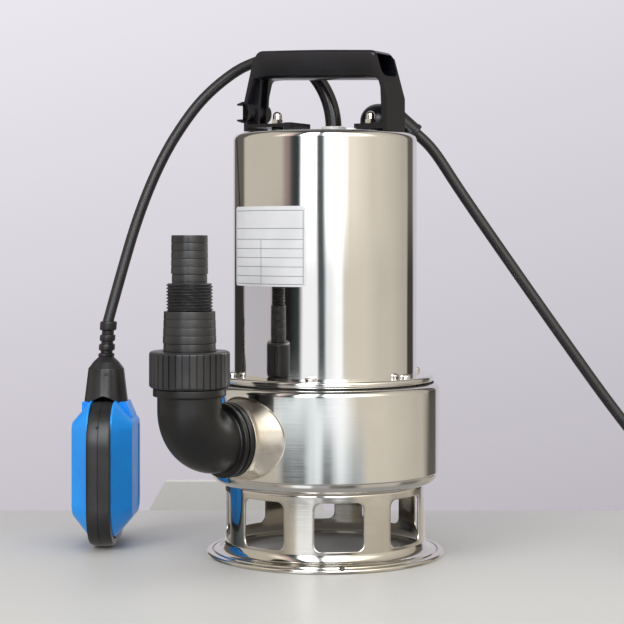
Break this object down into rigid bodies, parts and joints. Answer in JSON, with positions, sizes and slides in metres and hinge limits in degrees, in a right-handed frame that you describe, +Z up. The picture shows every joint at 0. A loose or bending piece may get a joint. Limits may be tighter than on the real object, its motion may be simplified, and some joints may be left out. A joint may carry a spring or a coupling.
{
  "type": "submersible sump pump",
  "caption": "Stainless submersible sump pump with a strainer foot, barbed hose tail, carrying handle, float switch on its cable and a coiled mains cable.",
  "frame": {"origin": "on the pump's axis at the floor it stands on", "axes": "+Z up along the pump's axis, -Y towards the front, the discharge at 45 degrees to the left"},
  "size_m": [0.7597, 0.2677, 0.3888],
  "materials": {
    "polished_steel": "polished stainless steel",
    "brushed_steel": "drawn stainless steel, satin",
    "zinc_steel": "plated steel",
    "black_plastic": "satin moulded plastic",
    "blue_plastic": "satin moulded plastic",
    "white_plastic": "satin moulded plastic",
    "plate_white": "satin printed plate",
    "black_rubber": "matt rubber",
    "cable_rubber": "satin cable sheath",
    "cast_iron": "painted casting",
    "core_steel": "laminated core sheets",
    "copper_wire": "enamelled copper turns",
    "ceramic": "ground ceramic",
    "pin_brass": "nickel-plated pins"
  },
  "bodies": {
    "pump": {"strainer_base": "polished_steel", "base_screws": "zinc_steel", "pump_body": "polished_steel", "suction_ring": "polished_steel", "body_rim": "polished_steel", "discharge_neck": "polished_steel", "pump_cover": "polished_steel", "cover_gasket": "black_rubber", "cover_screws": "zinc_steel", "motor_casing": "brushed_steel", "casing_oring": "black_rubber", "rating_label": "plate_white", "handle": "black_plastic", "handle_cap_nuts": "zinc_steel", "handle_washers": "black_rubber", "tie_studs": "zinc_steel", "gland_collar": "white_plastic", "float_cable_sleeve": "black_rubber", "cable_hood": "black_plastic", "elbow": "black_plastic", "elbow_gasket": "black_rubber", "hose_tail": "black_plastic", "hose_tail_gasket": "black_rubber", "oil_chamber": "cast_iron", "seal_seat": "ceramic", "lip_seal": "black_rubber", "lower_bracket": "cast_iron", "lower_bearing_outer": "zinc_steel", "upper_bearing_outer": "zinc_steel", "bracket_screws": "zinc_steel", "motor_frame": "zinc_steel", "stator_core": "core_steel", "stator_windings": "copper_wire", "upper_bracket": "cast_iron", "run_capacitor": "white_plastic", "terminal_block": "white_plastic", "float_cable": "cable_rubber", "mains_cable": "cable_rubber", "mains_coil": "cable_rubber", "coil_tie": "black_plastic", "plug_lead": "cable_rubber", "plug_body": "black_rubber", "plug_pins": "pin_brass"},
    "rotor": {"impeller": "cast_iron", "impeller_nut": "zinc_steel", "rotor_shaft": "zinc_steel", "rotor_core": "core_steel", "seal_head": "zinc_steel", "lower_bearing_inner": "zinc_steel", "upper_bearing_inner": "zinc_steel"},
    "float": {"float_boot": "black_rubber", "float_band": "black_plastic", "float_shell_left": "blue_plastic", "float_shell_right": "blue_plastic", "float_ball_track": "white_plastic", "float_micro_switch": "black_plastic"},
    "ball": {"float_ball": "zinc_steel"},
    "nut": {"union_nut": "black_plastic"}
  },
  "joints": [
    {"name": "rotor_spin", "type": "hinge", "parent": "pump", "child": "rotor", "pos_m": [0, 0, 0.2], "axis": [0, 0, 1], "continuous": true},
    {"name": "float_swing", "type": "hinge", "parent": "pump", "child": "float", "pos_m": [-0.1719, 0.036, 0.1696], "axis": [0.9994, 0.0349, 0], "range_deg": [-80, 80]},
    {"name": "ball_slide", "type": "slide", "parent": "float", "child": "ball", "axis": [0, 0, 1], "range_m": [0, 0.03]},
    {"name": "union_nut_turn", "type": "hinge", "parent": "pump", "child": "nut", "pos_m": [-0.09687, -0.09687, 0.147], "axis": [0, 0, 1], "continuous": true}
  ]
}
